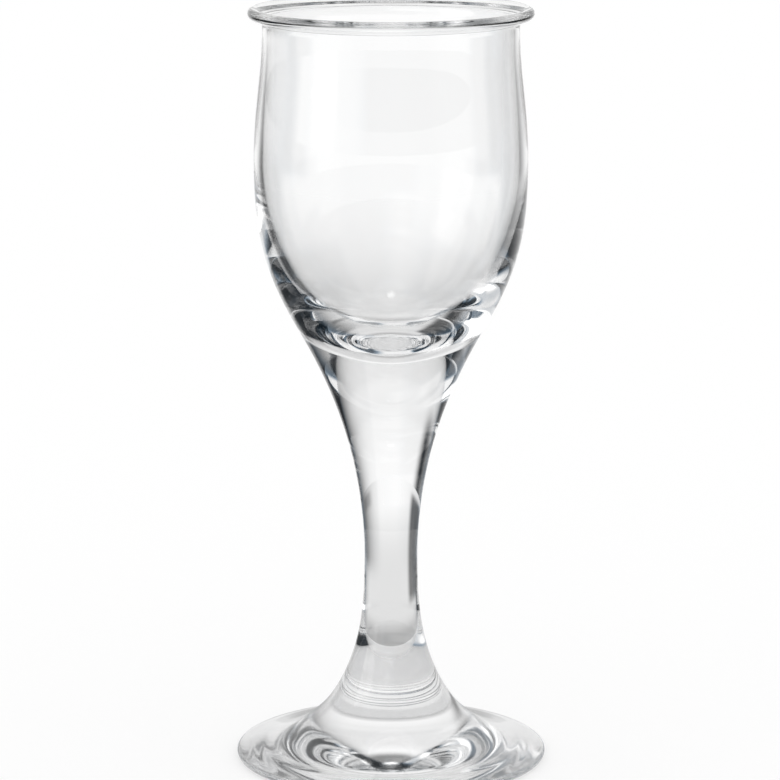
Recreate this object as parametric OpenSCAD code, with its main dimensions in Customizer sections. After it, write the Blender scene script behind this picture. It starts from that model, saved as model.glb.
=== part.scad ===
// Stemmed liqueur glass of clear glass: a blown bowl, a drawn stem and a spread foot, welded hot.
// The axis is Z and the foot stands on the plane Z = 0. All sizes are in millimetres.

/* [Foot] */
// Diameter of the foot
foot_diameter = 55; // [46:0.5:66]
// Thickness of the foot at its rounded edge
foot_edge = 1.5; // [0.8:0.1:2.2]
// Rise of the top of the foot next to its edge, in degrees
foot_rise = 12; // [8:0.5:16]
// Height of the foot up to its weld with the stem
foot_height = 11; // [9:0.5:14]
// Diameter of the weld between the foot and the stem
foot_weld_diameter = 20.8; // [17:0.2:25]
// Lean of the outline at that weld, in degrees from upright
foot_weld_lean = 33; // [24:1:42]
// Width of the flat ring under the foot that the glass stands on
standing_width = 4.5; // [2:0.5:8]
// Depth of the hollow under the middle of the foot
hollow_depth = 1.6; // [0.4:0.1:2.4]

/* [Stem] */
// Length of the stem from its weld with the foot up to the waist
lower_stem_length = 24.8; // [18:0.2:40]
// Diameter of the waist, where the stem is thinnest
waist_diameter = 9.4; // [8:0.1:12]
// Length of the stem from the waist up to its weld with the bowl
upper_stem_length = 41.2; // [30:0.2:60]
// Diameter of the weld between the stem and the bowl
bowl_weld_diameter = 32.2; // [27:0.2:36]
// Lean of the outline at that weld, in degrees from upright
bowl_weld_lean = 30; // [24:1:36]
// Depth of the round base of the bowl below the edge of that weld
base_depth = 7; // [4:0.5:8]

/* [Bowl] */
// Height from the weld up to the belly
belly_rise = 29; // [25:0.5:36]
// Diameter of the belly, the widest part below the neck
belly_diameter = 47.6; // [42:0.2:54]
// Height from the belly up to the neck
neck_rise = 24; // [19:0.5:29]
// Diameter of the neck, the narrowest part below the rim
neck_diameter = 44.4; // [41:0.1:46]
// Height from the neck up to the top of the rim
rim_rise = 3.4; // [3:0.1:5]
// Diameter of the rim
rim_diameter = 49.4; // [48:0.1:53]
// Slope of the rolled lip, in degrees above level
lip_slope = 14; // [0:1:30]
// Thickness of the rolled lip
lip_thickness = 1.9; // [1.4:0.1:2.4]
// Wall of the bowl at the neck
neck_wall = 1; // [0.7:0.1:1.6]
// Wall of the bowl at the belly
belly_wall = 1.5; // [0.8:0.1:2.2]
// Thickness of the bowl under the middle of its inside, down to the weld
base_thickness = 4.5; // [3:0.5:7]

/* [Curves] */
// Length of the handles of the outline's curves, as a share of each curve's chord
outline_fullness = 0.355; // [0.3:0.005:0.42]
// The same share above and below the belly
belly_fullness = 0.45; // [0.35:0.01:0.5]
// The same share where the outside of the neck turns out under the lip
lip_turn_fullness = 0.8; // [0.6:0.01:0.85]
// The same share where that turn meets the lip
lip_end_fullness = 0.1; // [0.06:0.01:0.2]
// The same share where the lip turns in to the mouth
mouth_lip_fullness = 0.3; // [0.2:0.01:0.4]
// The same share where the mouth meets the inside of the neck
mouth_neck_fullness = 0.35; // [0.25:0.01:0.5]
// The same share on the side of the bowl's inside
side_fullness = 0.55; // [0.44:0.01:0.6]
// The same share at the bottom of the bowl's inside
floor_fullness = 0.22; // [0.15:0.01:0.35]

/* [Hidden] */
$fn = 128;

curve_steps = 12;
lip_steps = 10;
arc_steps = 8;
glass_tint = [0.88, 0.91, 0.93, 0.4];

// Directions on the outline, as [outward, upward]
UP = [0, 1];
DOWN = [0, -1];
INWARD = [-1, 0];

// Heights of the stations along the axis
waist_z = foot_height + lower_stem_length;
bowl_weld_z = waist_z + upper_stem_length;
belly_z = bowl_weld_z + belly_rise;
neck_z = belly_z + neck_rise;
rim_top_z = neck_z + rim_rise;
base_low_z = bowl_weld_z - base_depth;
floor_z = base_low_z + base_thickness;

// Points of the outline, as [radius, height]
foot_weld = [foot_weld_diameter / 2, foot_height];
waist = [waist_diameter / 2, waist_z];
bowl_weld = [bowl_weld_diameter / 2, bowl_weld_z];
belly = [belly_diameter / 2, belly_z];
neck = [neck_diameter / 2, neck_z];

// Centres of the two rounded edges
edge_round = foot_edge / 2;
edge_centre = [foot_diameter / 2 - edge_round, edge_round];
lip_round = lip_thickness / 2;
lip_centre = [rim_diameter / 2 - lip_round, rim_top_z - lip_round];

// Direction of the outline where the top of the foot starts, and at the two welds
foot_top_way = [-cos(foot_rise), sin(foot_rise)];
foot_weld_way = [-sin(foot_weld_lean), cos(foot_weld_lean)];
bowl_weld_way = [sin(bowl_weld_lean), cos(bowl_weld_lean)];
lip_way = [cos(lip_slope), sin(lip_slope)];

// Inner edge of the flat ring that the glass stands on
standing_edge = [edge_centre[0] - standing_width, 0];

// A point on a circle, at an angle counted from outward towards up
function on_circle(centre, radius, angle) = centre + radius * [cos(angle), sin(angle)];

// Points along part of a circle
function arc(centre, radius, from, to) =
    [for (i = [0 : arc_steps]) on_circle(centre, radius, from + (to - from) * i / arc_steps)];

// A point on the cubic curve with four control points
function cubic(p, t) =
    pow(1 - t, 3) * p[0] + 3 * t * pow(1 - t, 2) * p[1] + 3 * t * t * (1 - t) * p[2] + pow(t, 3) * p[3];

// Points along a smooth curve that leaves a along a_way and reaches b along b_way
function curve(a, a_way, a_full, b, b_way, b_full, steps = curve_steps) =
    let (chord = norm(b - a))
    let (control = [a, a + a_way * a_full * chord, b - b_way * b_full * chord, b])
    [for (i = [0 : steps]) cubic(control, i / steps)];

// Points from the axis out to the edge of a round cap of the given depth, with its middle lowest
function cap(edge, depth) =
    let (radius = (pow(edge[0], 2) + pow(depth, 2)) / (2 * depth))
    let (centre = [0, edge[1] - depth + radius])
    arc(centre, radius, -90, -90 + asin(edge[0] / radius));

// One outline from stretches that each start where the one before ends
function joined(stretches) =
    [for (s = [0 : len(stretches) - 1])
        for (i = [(s == 0 ? 0 : 1) : len(stretches[s]) - 1])
            stretches[s][i]];

// The same points in the other order
function reversed(points) = [for (i = [len(points) - 1 : -1 : 0]) points[i]];

// The same points upside down about the plane Z = 0
function upside_down(points) = [for (p = points) [p[0], -p[1]]];

// The weld between the bowl and the stem, shared by both
base_cap = cap(bowl_weld, base_depth);

// The rounded edge of the foot, from the table up to the top of the foot
foot_edge_arc = arc(edge_centre, edge_round, -90, 90 - foot_rise);

// The rolled lip, from its underside round to the inside
lip_arc = arc(lip_centre, lip_round, lip_slope - 90, lip_slope + 90);

// The top of the foot, from its edge up to the weld
foot_top = curve(
    foot_edge_arc[arc_steps], foot_top_way, outline_fullness,
    foot_weld, foot_weld_way, outline_fullness
);

// The side of the stem, from the foot's weld past the waist up to the bowl's weld
stem_side = joined([
    curve(foot_weld, foot_weld_way, outline_fullness, waist, UP, outline_fullness),
    curve(waist, UP, outline_fullness, bowl_weld, bowl_weld_way, outline_fullness)
]);

// The outside of the bowl, from its weld over belly and neck to the underside of the lip
bowl_outside = joined([
    curve(bowl_weld, bowl_weld_way, outline_fullness, belly, UP, belly_fullness),
    curve(belly, UP, belly_fullness, neck, UP, outline_fullness),
    curve(neck, UP, lip_turn_fullness, lip_arc[0], lip_way, lip_end_fullness, lip_steps)
]);

// The inside of the bowl, from the lip down to the bottom on the axis
inner_neck = neck - [neck_wall, 0];
inner_belly = belly - [belly_wall, 0];
inner_bottom = [0, floor_z];
bowl_inside = joined([
    curve(lip_arc[arc_steps], -lip_way, mouth_lip_fullness, inner_neck, DOWN, mouth_neck_fullness, lip_steps),
    curve(inner_neck, DOWN, outline_fullness, inner_belly, DOWN, belly_fullness),
    curve(inner_belly, DOWN, side_fullness, inner_bottom, INWARD, floor_fullness)
]);

// Blown bowl: thin wall with a rolled lip, thick round base
module bowl() {
    color(glass_tint)
        rotate_extrude()
            polygon(joined([base_cap, bowl_outside, lip_arc, bowl_inside]));
}

// Drawn stem: solid, thinnest at the waist, cupped at the top to take the base of the bowl
module stem() {
    color(glass_tint)
        rotate_extrude()
            polygon(joined([[[0, foot_height], foot_weld], stem_side, reversed(base_cap)]));
}

// Spread foot: flat ring to stand on, shallow hollow underneath, top flaring up to the stem
module foot() {
    hollow = upside_down(cap(standing_edge, hollow_depth));
    standing_ring = [standing_edge, foot_edge_arc[0]];
    color(glass_tint)
        rotate_extrude()
            polygon(joined([hollow, standing_ring, foot_edge_arc, foot_top, [foot_weld, [0, foot_height]]]));
}

bowl();
stem();
foot();
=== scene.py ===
"""Looks of a stemmed liqueur glass: bowl, stem and foot of clear glass, welded hot, in a white studio."""

import math

import bpy
import numpy as np
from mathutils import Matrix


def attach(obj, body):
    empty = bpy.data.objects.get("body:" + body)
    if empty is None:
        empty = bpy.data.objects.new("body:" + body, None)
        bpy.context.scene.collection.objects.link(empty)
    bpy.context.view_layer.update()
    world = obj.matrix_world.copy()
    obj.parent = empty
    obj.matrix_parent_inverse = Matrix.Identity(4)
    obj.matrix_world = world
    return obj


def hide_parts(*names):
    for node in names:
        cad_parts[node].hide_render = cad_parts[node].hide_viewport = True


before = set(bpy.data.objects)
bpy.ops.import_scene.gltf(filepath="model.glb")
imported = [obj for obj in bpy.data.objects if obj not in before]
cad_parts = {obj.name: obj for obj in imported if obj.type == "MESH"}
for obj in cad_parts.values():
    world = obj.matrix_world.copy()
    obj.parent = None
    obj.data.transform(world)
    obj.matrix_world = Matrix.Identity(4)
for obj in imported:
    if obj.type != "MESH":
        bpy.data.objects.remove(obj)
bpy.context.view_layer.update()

# Points closer than this are one point, in metres
TOUCH = 1e-6
# An outline turns a corner where it bends by more than this, in degrees
CORNER = 30.0
# A point lies on a straight stretch where the outline bends by less than this, in degrees
STRAIGHT = 0.02
# Fine steps between two points of an outline, and facets round the axis
FINE_STEPS = 3
FACETS = 192

# Clear glass: colour of what passes through, and refraction
GLASS_COLOUR = (0.998, 0.999, 0.999, 1.0)
GLASS_IOR = 1.51
# Surface of each piece: size of its slow waves in metres, their stretch along X, Y and Z, their height in
# metres, and its roughness
SURFACES = {
    "bowl": (0.02, (1.0, 1.0, 0.5), 6e-6, 0.0),
    "stem": (0.012, (1.0, 1.0, 0.25), 5e-6, 0.0),
    "foot": (0.016, (1.0, 1.0, 1.0), 1e-5, 0.06),
}
WAVE_DETAIL = 1.0
# Name of the visual piece that takes the place of each solid
PIECE_NAMES = {"bowl": "bowl_blown", "stem": "stem_drawn", "foot": "foot_spread"}

# Camera of the photograph, worked out from the rim and the foot: place, tilt and focal length in pixels
PHOTO_WIDTH = 780
CAMERA_PLACE = (0.0, -0.639518, 0.199984)
CAMERA_TILT = 0.206245
FOCAL_PIXELS = 3721.526
AXIS_PIXEL = 391.0
SENSOR_WIDTH = 36.0
CAMERA_NEAR = 0.01
# Bounces of light, enough for light that runs round inside the glass
LIGHT_BOUNCES = 40

# White studio: the sky's level, the floor's colour and glow, which add up to white, and the floor's size and
# how far it lies below the glass
SKY_LEVEL = 1.0
FLOOR_COLOUR = 0.4
FLOOR_GLOW = 0.6
FLOOR_SIZE = 12.0
FLOOR_DROP = 0.0002

# A dim room round the glass, seen in the glass only: its distance and level, its steps round and up, and the
# elevation of its top in degrees
ROOM_DISTANCE = 2.5
ROOM_LEVEL = 0.008
AZIMUTH_STEPS = 144
ELEVATION_STEPS = 59
TOP_ELEVATION = 89.5
# Elevations for a soft box that has no low edge or no high edge, and azimuths for one that goes all round
BELOW = -20
PAST_TOP = 110
ALL_ROUND = ((-200, 10), (200, 10))
# Soft boxes in the room, each added to it: first azimuth and its softness, last azimuth and its softness
# (0 is straight behind the glass, 90 at +X), low and high elevation and their softness in degrees, and level.
# The mirror image of the lamp is the small light spot low in the bowl
SOFT_BOXES = {
    "back_low": ((-35, 15), (45, 55), (BELOW, 17, 12), 0.95),
    "back_high": ((-55, 30), (45, 50), (17, 55, 10), 0.85),
    "horizon": ((-30, 20), (35, 30), (BELOW, 5, 8), 0.05),
    "left": ((-105, 10), (-50, 10), (BELOW, 20, 5), 0.15),
    "front_left": ((-130, 10), (-95, 5), (BELOW, 35, 5), 1.15),
    "front_wide": ((-155, 15), (-115, 15), (BELOW, 40, 25), 0.7),
    "front": ((-180, 30), (-155, 30), (15, 40, 5), 1.2),
    "high_back": ((-45, 35), (55, 35), (50, PAST_TOP, 25), 0.3),
    "top": (*ALL_ROUND, (75, PAST_TOP, 5), 0.6),
    "lamp": (*ALL_ROUND, (86.5, PAST_TOP, 2), 4.0),
}
# Dark flags on the white floor, and a painted shadow of the glass on the floor, seen in the glass only: first
# azimuth and its softness, last azimuth and its softness in degrees, nearest distance in metres and the ratio
# over which the flag starts there, farthest distance and the ratio over which it ends there, and level
FLOOR_FLAGS_AND_PAINTED_SHADOW = {
    # The first two are painted shadow: the shadow of the glass on the floor behind it and round its foot
    "behind": ((-65, 30), (65, 30), (0.017, 1.3), (0.12, 4.0), 0.75),
    "painted_contact_shadow": ((-90, 40), (90, 40), (0.017, 1.3), (0.035, 1.6), 0.6),
    "front": ((135, 15), (225, 15), (0.025, 1.3), (4.0, 3.0), 0.9),
    "right_near": ((60, 35), (150, 35), (0.025, 1.5), (0.1, 1.4), 0.05),
    "right": ((35, 50), (75, 10), (0.1, 1.5), (3.0, 1.6), 0.2),
    "right_turn": ((30, 10), (50, 10), (0.45, 1.4), (1.0, 1.6), 0.65),
    "right_far": ((75, 10), (105, 10), (0.65, 1.3), (3.0, 1.6), 0.05),
    "left_near": ((-130, 10), (-55, 10), (0.03, 1.3), (0.11, 1.4), 0.05),
    "left": ((-75, 10), (-30, 10), (0.06, 1.3), (0.7, 2.0), 0.15),
    "left_soft": ((-75, 10), (-35, 50), (0.1, 1.6), (3.0, 1.6), 0.7),
    "left_far": ((-105, 10), (-75, 10), (0.65, 1.3), (3.0, 1.6), 0.05),
}
# How far the flags lie above the floor, their nearest distance from the axis, and their steps outward
FLAG_LIFT = 0.0004
FLAG_START = 0.028
FLAG_STEPS = 39
# Colour of dark places away from the back, and the azimuths between which it comes in, in degrees
ROOM_COLOUR = (0.55, 0.95, 1.36)
TINT_TURN = (45.0, 78.0)
# A place this close to white is left open to the white sky or floor
NEAR_WHITE = 0.005


def outline_of(node):
    """The node's outline as (radius, height) points in order, with the solid on the left."""
    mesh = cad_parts[node].data
    spots = {}
    spot_of = {}
    for vertex in mesh.vertices:
        x, y, z = vertex.co
        if abs(y) < TOUCH and x > -TOUCH:
            key = (round(x / TOUCH), round(z / TOUCH))
            spots[key] = (max(x, 0.0), z)
            spot_of[vertex.index] = key
    near = {key: set() for key in spots}
    for edge in mesh.edges:
        a, b = (spot_of.get(index) for index in edge.vertices)
        if a and b and a != b:
            near[a].add(b)
            near[b].add(a)
    here = min(spots)
    path = [here]
    while near[here] - set(path):
        here = min(near[here] - set(path))
        path.append(here)
    return closed_on_axis([spots[key] for key in path])


def closed_on_axis(points):
    """The outline with a point on the axis at each end, less points on straight stretches."""
    if points[0][0] > TOUCH:
        points = [(0.0, points[0][1])] + points
    if points[-1][0] > TOUCH:
        points = points + [(0.0, points[-1][1])]
    points = np.array(points)
    bent = [bend(points, i) > STRAIGHT for i in range(1, len(points) - 1)]
    points = points[[True] + bent + [True]]
    radius, height = points.T
    area = np.sum(radius[:-1] * height[1:] - radius[1:] * height[:-1])
    return points if area > 0 else points[::-1]


def bend(points, i):
    """How far the outline bends at point i, in degrees."""
    before = points[i] - points[i - 1]
    after = points[i + 1] - points[i]
    cross = before[0] * after[1] - before[1] * after[0]
    return abs(math.degrees(math.atan2(cross, before @ after)))


def is_level(points):
    """Whether a stretch of outline is a level flat."""
    return len(points) == 2 and abs(points[1][1] - points[0][1]) < TOUCH


def welded_points(points, other_outlines):
    """Which points of an outline also lie on another piece's outline."""
    gaps = []
    for outline in other_outlines:
        distances = np.linalg.norm(points[:, None] - outline[None], axis=2)
        gaps.append(distances.min(axis=1))
    return np.min(gaps, axis=0) < TOUCH


def stretches_of(points, welded):
    """The outline cut at its corners, at the ends of its level flats and at the edges of its welds."""
    last = len(points) - 1
    cuts = {0, last}
    for i in range(1, last):
        if bend(points, i) > CORNER or (welded[i] and not (welded[i - 1] and welded[i + 1])):
            cuts.add(i)
    for i in range(last):
        if is_level(points[i : i + 2]):
            cuts |= {i, i + 1}
    cuts = sorted(cuts)
    return [(points[a : b + 1], bool(welded[a : b + 1].all())) for a, b in zip(cuts, cuts[1:])]


def first_way(points, before):
    """The direction in which a stretch leaves its first point, after the stretch before it."""
    steps = np.diff(points, axis=0)
    lengths = np.linalg.norm(steps, axis=1)
    ways = steps / lengths[:, None]
    level = np.array([np.sign(ways[0][0]), 0.0])
    gentle = ways[0] @ level > math.cos(math.radians(CORNER))
    if points[0][0] < TOUCH or (gentle and before is not None and is_level(before)):
        return level
    if len(ways) == 1:
        return ways[0]
    return ways[0] + (ways[0] - ways[1]) * lengths[0] / (lengths[0] + lengths[1])


def smooth(points, first, last):
    """Fine points along the smooth curve through the points, and the direction at each."""
    lengths = np.linalg.norm(np.diff(points, axis=0), axis=1)
    count = len(points)
    system = np.eye(count)
    right = np.zeros((count, 2))
    right[0], right[-1] = first, last
    for i in range(1, count - 1):
        a, b = lengths[i - 1], lengths[i]
        system[i, i - 1 : i + 2] = b, 2 * (a + b), a
        right[i] = 3 * (b * (points[i] - points[i - 1]) / a + a * (points[i + 1] - points[i]) / b)
    slopes = np.linalg.solve(system, right)
    places, ways = [], []
    for i in range(count - 1):
        a_slope, b_slope = slopes[i] * lengths[i], slopes[i + 1] * lengths[i]
        for t in np.arange(FINE_STEPS) / FINE_STEPS:
            place, way = on_curve(points[i], a_slope, points[i + 1], b_slope, t)
            places.append(place)
            ways.append(way)
    places.append(points[-1])
    ways.append(last)
    ways = np.array(ways)
    return np.array(places), ways / np.linalg.norm(ways, axis=1)[:, None]


def on_curve(a, a_slope, b, b_slope, t):
    """The place and direction at share t of the cubic curve from a to b with the given slopes."""
    place = (
        (2 * t**3 - 3 * t**2 + 1) * a
        + (t**3 - 2 * t**2 + t) * a_slope
        + (3 * t**2 - 2 * t**3) * b
        + (t**3 - t**2) * b_slope
    )
    way = (
        (6 * t**2 - 6 * t) * (a - b)
        + (3 * t**2 - 4 * t + 1) * a_slope
        + (3 * t**2 - 2 * t) * b_slope
    )
    return place, way


def fine_stretches(points, welded):
    """The outline as stretches of fine points, with their outward directions and whether each is a weld."""
    stretches = stretches_of(points, welded)
    fine = []
    for i, (coarse, weld) in enumerate(stretches):
        before = stretches[i - 1][0] if i else None
        after = stretches[i + 1][0][::-1] if i + 1 < len(stretches) else None
        places, ways = smooth(coarse, first_way(coarse, before), -first_way(coarse[::-1], after))
        fine.append((places, np.column_stack([ways[:, 1], -ways[:, 0]]), weld))
    return fine


def turned(name, stretches):
    """A closed mesh turned from the stretches of an outline. Welded stretches take the second material."""
    angles = np.arange(FACETS) * math.tau / FACETS
    circle = np.column_stack([np.cos(angles), np.sin(angles)])
    vertices, faces, slots, normals = [], [], [], []

    def ring(place):
        """The numbers of the vertices of a new ring, or of one vertex on the axis."""
        start = len(vertices)
        if place[0] < TOUCH:
            vertices.append((0.0, 0.0, place[1]))
            return [start] * FACETS
        vertices.extend((place[0] * c, place[0] * s, place[1]) for c, s in circle)
        return list(range(start, start + FACETS))

    def normal(out, on_axis, j):
        """The normal at facet j, from the outline's outward direction."""
        return (0.0, 0.0, math.copysign(1.0, out[1])) if on_axis else (*(out[0] * circle[j]), out[1])

    below = ring(stretches[0][0][0])
    for places, outs, weld in stretches:
        for i in range(len(places) - 1):
            above = ring(places[i + 1])
            low_tip, high_tip = places[i][0] < TOUCH, places[i + 1][0] < TOUCH
            for j in range(FACETS):
                k = (j + 1) % FACETS
                corners = [(below[j], outs[i], low_tip, j)]
                if not low_tip:
                    corners.append((below[k], outs[i], low_tip, k))
                corners.append((above[k], outs[i + 1], high_tip, k))
                if not high_tip:
                    corners.append((above[j], outs[i + 1], high_tip, j))
                faces.append([corner[0] for corner in corners])
                normals.extend(normal(*corner[1:]) for corner in corners)
                slots.append(1 if weld else 0)
            below = above
    mesh = bpy.data.meshes.new(name)
    mesh.from_pydata(vertices, [], faces)
    mesh.polygons.foreach_set("material_index", slots)
    mesh.polygons.foreach_set("use_smooth", [True] * len(faces))
    mesh.normals_split_custom_set(normals)
    mesh.update()
    return mesh


def link(name, mesh):
    """A new object of the mesh, in the scene."""
    made = bpy.data.objects.new(name, mesh)
    bpy.context.scene.collection.objects.link(made)
    return made


def glass_material(name, wave_size, wave_stretch, wave_height, roughness):
    """Clear glass of the given roughness, with the slow waves of hot work: their size, stretch and height."""
    material = bpy.data.materials.new(name)
    material.use_nodes = True
    nodes, links = material.node_tree.nodes, material.node_tree.links
    shader = nodes["Principled BSDF"]
    shader.inputs["Base Color"].default_value = GLASS_COLOUR
    shader.inputs["Roughness"].default_value = roughness
    shader.inputs["IOR"].default_value = GLASS_IOR
    shader.inputs["Transmission Weight"].default_value = 1.0
    place = nodes.new("ShaderNodeTexCoord")
    stretch = nodes.new("ShaderNodeMapping")
    stretch.inputs["Scale"].default_value = wave_stretch
    waves = nodes.new("ShaderNodeTexNoise")
    waves.inputs["Scale"].default_value = 1.0 / wave_size
    waves.inputs["Detail"].default_value = WAVE_DETAIL
    relief = nodes.new("ShaderNodeBump")
    relief.inputs["Distance"].default_value = wave_height
    links.new(place.outputs["Object"], stretch.inputs["Vector"])
    links.new(stretch.outputs["Vector"], waves.inputs["Vector"])
    links.new(waves.outputs["Fac"], relief.inputs["Height"])
    links.new(relief.outputs["Normal"], shader.inputs["Normal"])
    return material


def bare_material(name, shader_kind):
    """A new material of one shader alone, and that shader."""
    material = bpy.data.materials.new(name)
    material.use_nodes = True
    nodes, links = material.node_tree.nodes, material.node_tree.links
    nodes.clear()
    shader = nodes.new(shader_kind)
    output = nodes.new("ShaderNodeOutputMaterial")
    links.new(shader.outputs[0], output.inputs["Surface"])
    return material, shader


def weld_material():
    """The inside of a weld, where the glass runs on and nothing shows."""
    return bare_material("weld", "ShaderNodeBsdfTransparent")[0]


def make_pieces():
    """The three pieces of glass, each turned from its own solid's outline."""
    outlines = {node: outline_of(node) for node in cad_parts}
    weld = weld_material()
    for node, name in PIECE_NAMES.items():
        others = [outline for other, outline in outlines.items() if other != node]
        welded = welded_points(outlines[node], others)
        mesh = turned(name, fine_stretches(outlines[node], welded))
        mesh.materials.append(glass_material(f"{node}_glass", *SURFACES[node]))
        mesh.materials.append(weld)
        piece = link(name, mesh)
        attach(piece, "root")
        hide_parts(node)


def soft_step(value, start, end):
    """0 below the start, 1 above the end, and a soft rise between them."""
    share = min(max((value - start) / (end - start), 0.0), 1.0)
    return share * share * (3 - 2 * share)


def across(azimuth, first_edge, last_edge):
    """1 between two edges, each an azimuth and its softness, and fading to 0 over the softness of each."""
    first, first_soft = first_edge
    last, last_soft = last_edge
    middle = (first + last) / 2
    azimuth = middle + (azimuth - middle + 180) % 360 - 180
    start = soft_step(azimuth, first - first_soft / 2, first + first_soft / 2)
    return start * (1 - soft_step(azimuth, last - last_soft / 2, last + last_soft / 2))


def room_level(azimuth, elevation):
    """How bright the room is in a direction."""
    level = ROOM_LEVEL
    for first, last, (low, high, rise), bright in SOFT_BOXES.values():
        up = soft_step(elevation, low - rise / 2, low + rise / 2)
        down = 1 - soft_step(elevation, high - rise / 2, high + rise / 2)
        level += bright * across(azimuth, first, last) * up * down
    return level


def floor_level(azimuth, distance):
    """How bright the floor is at a place, with its dark flags and the painted shadow of the glass."""
    level = 1.0
    for first, last, (near, near_ratio), (far, far_ratio), shade in FLOOR_FLAGS_AND_PAINTED_SHADOW.values():
        start = soft_step(math.log(distance / near), 0, math.log(near_ratio))
        end = soft_step(math.log(far / distance), -math.log(far_ratio), 0)
        level *= 1 - (1 - shade) * across(azimuth, first, last) * start * end
    return level


def tinted(level, azimuth):
    """The colour of a place: grey or white, and towards the room's colour where it is dark and not behind."""
    share = soft_step(abs(azimuth), *TINT_TURN) * (1 - min(level, 1.0)) ** 2
    return (*(level * (1 + (tint - 1) * share) for tint in ROOM_COLOUR), 1.0)


def sheet(name, azimuths, rows, level_at):
    """A stage sheet seen in the glass only, with a row of places for each (distance, height, key) in rows."""
    vertices, levels, colours, faces = [], [], [], []
    count = len(azimuths)
    for distance, height, key in rows:
        for azimuth in azimuths:
            angle = math.radians(azimuth)
            level = level_at(azimuth, key)
            vertices.append((distance * math.sin(angle), distance * math.cos(angle), height))
            levels.append(level)
            colours.append(tinted(level, azimuth))
    for i in range(len(rows) - 1):
        for j in range(count - 1):
            k = i * count + j
            corners = (k, k + 1, k + count + 1, k + count)
            if max(abs(levels[corner] - 1) for corner in corners) > NEAR_WHITE:
                faces.append(corners)
    mesh = bpy.data.meshes.new(name)
    mesh.from_pydata(vertices, [], faces)
    shades = mesh.color_attributes.new("shade", "FLOAT_COLOR", "POINT")
    for shade, colour in zip(shades.data, colours):
        shade.color = colour
    mesh.materials.append(shade_material(name))
    made = link(name, mesh)
    made.visible_camera = False
    made.visible_diffuse = False
    made.visible_shadow = False


def shade_material(name):
    """A surface that shows its own stored colour and takes no light."""
    material, glow = bare_material(name, "ShaderNodeEmission")
    shade = material.node_tree.nodes.new("ShaderNodeAttribute")
    shade.attribute_name = "shade"
    material.node_tree.links.new(shade.outputs["Color"], glow.inputs["Color"])
    return material


def make_room():
    """The dim room with its soft boxes, and the dark flags and the painted shadow of the glass on the floor.
    """
    azimuths = np.linspace(-180, 180, AZIMUTH_STEPS + 1)
    walls = []
    for elevation in np.linspace(0, TOP_ELEVATION, ELEVATION_STEPS + 1):
        angle = math.radians(elevation)
        walls.append((ROOM_DISTANCE * math.cos(angle), ROOM_DISTANCE * math.sin(angle), elevation))
    sheet("room", azimuths, walls, room_level)
    # The floor sheet holds the dark flags and the painted shadow of the glass
    distances = np.geomspace(FLAG_START, ROOM_DISTANCE, FLAG_STEPS + 1)
    flags = [(distance, FLAG_LIFT, distance) for distance in distances]
    sheet("floor_flags_and_painted_shadow", azimuths, flags, floor_level)


def make_floor():
    """A white floor that glows, so that it is white in the open and keeps the shadow of the glass."""
    half = FLOOR_SIZE / 2
    corners = [(-half, -half), (half, -half), (half, half), (-half, half)]
    mesh = bpy.data.meshes.new("floor")
    mesh.from_pydata([(x, y, -FLOOR_DROP) for x, y in corners], [], [(0, 1, 2, 3)])
    material = bpy.data.materials.new("floor")
    material.use_nodes = True
    shader = material.node_tree.nodes["Principled BSDF"]
    shader.inputs["Base Color"].default_value = (FLOOR_COLOUR, FLOOR_COLOUR, FLOOR_COLOUR, 1.0)
    shader.inputs["Roughness"].default_value = 1.0
    shader.inputs["Specular IOR Level"].default_value = 0.0
    shader.inputs["Emission Color"].default_value = (1.0, 1.0, 1.0, 1.0)
    shader.inputs["Emission Strength"].default_value = FLOOR_GLOW
    mesh.materials.append(material)
    link("floor", mesh)


def make_sky():
    """An even white sky, which is the light and the background."""
    world = bpy.data.worlds.new("studio")
    world.use_nodes = True
    background = world.node_tree.nodes["Background"]
    background.inputs["Color"].default_value = (1.0, 1.0, 1.0, 1.0)
    background.inputs["Strength"].default_value = SKY_LEVEL
    bpy.context.scene.world = world


def make_camera():
    """The camera of the photograph."""
    data = bpy.data.cameras.new("camera")
    data.sensor_width = SENSOR_WIDTH
    data.lens = FOCAL_PIXELS * SENSOR_WIDTH / PHOTO_WIDTH
    data.shift_x = (PHOTO_WIDTH / 2 - AXIS_PIXEL) / PHOTO_WIDTH
    data.clip_start = CAMERA_NEAR
    camera = bpy.data.objects.new("camera", data)
    camera.location = CAMERA_PLACE
    camera.rotation_euler = (math.pi / 2 - CAMERA_TILT, 0.0, 0.0)
    bpy.context.scene.collection.objects.link(camera)
    bpy.context.scene.camera = camera


def set_light_paths():
    """The bounces of light, and plain view colours."""
    cycles = bpy.context.scene.cycles
    cycles.max_bounces = LIGHT_BOUNCES
    cycles.transmission_bounces = LIGHT_BOUNCES
    cycles.glossy_bounces = LIGHT_BOUNCES
    cycles.transparent_max_bounces = LIGHT_BOUNCES
    bpy.context.scene.view_settings.view_transform = "Standard"


make_pieces()
make_floor()
make_room()
make_sky()
make_camera()
set_light_paths()
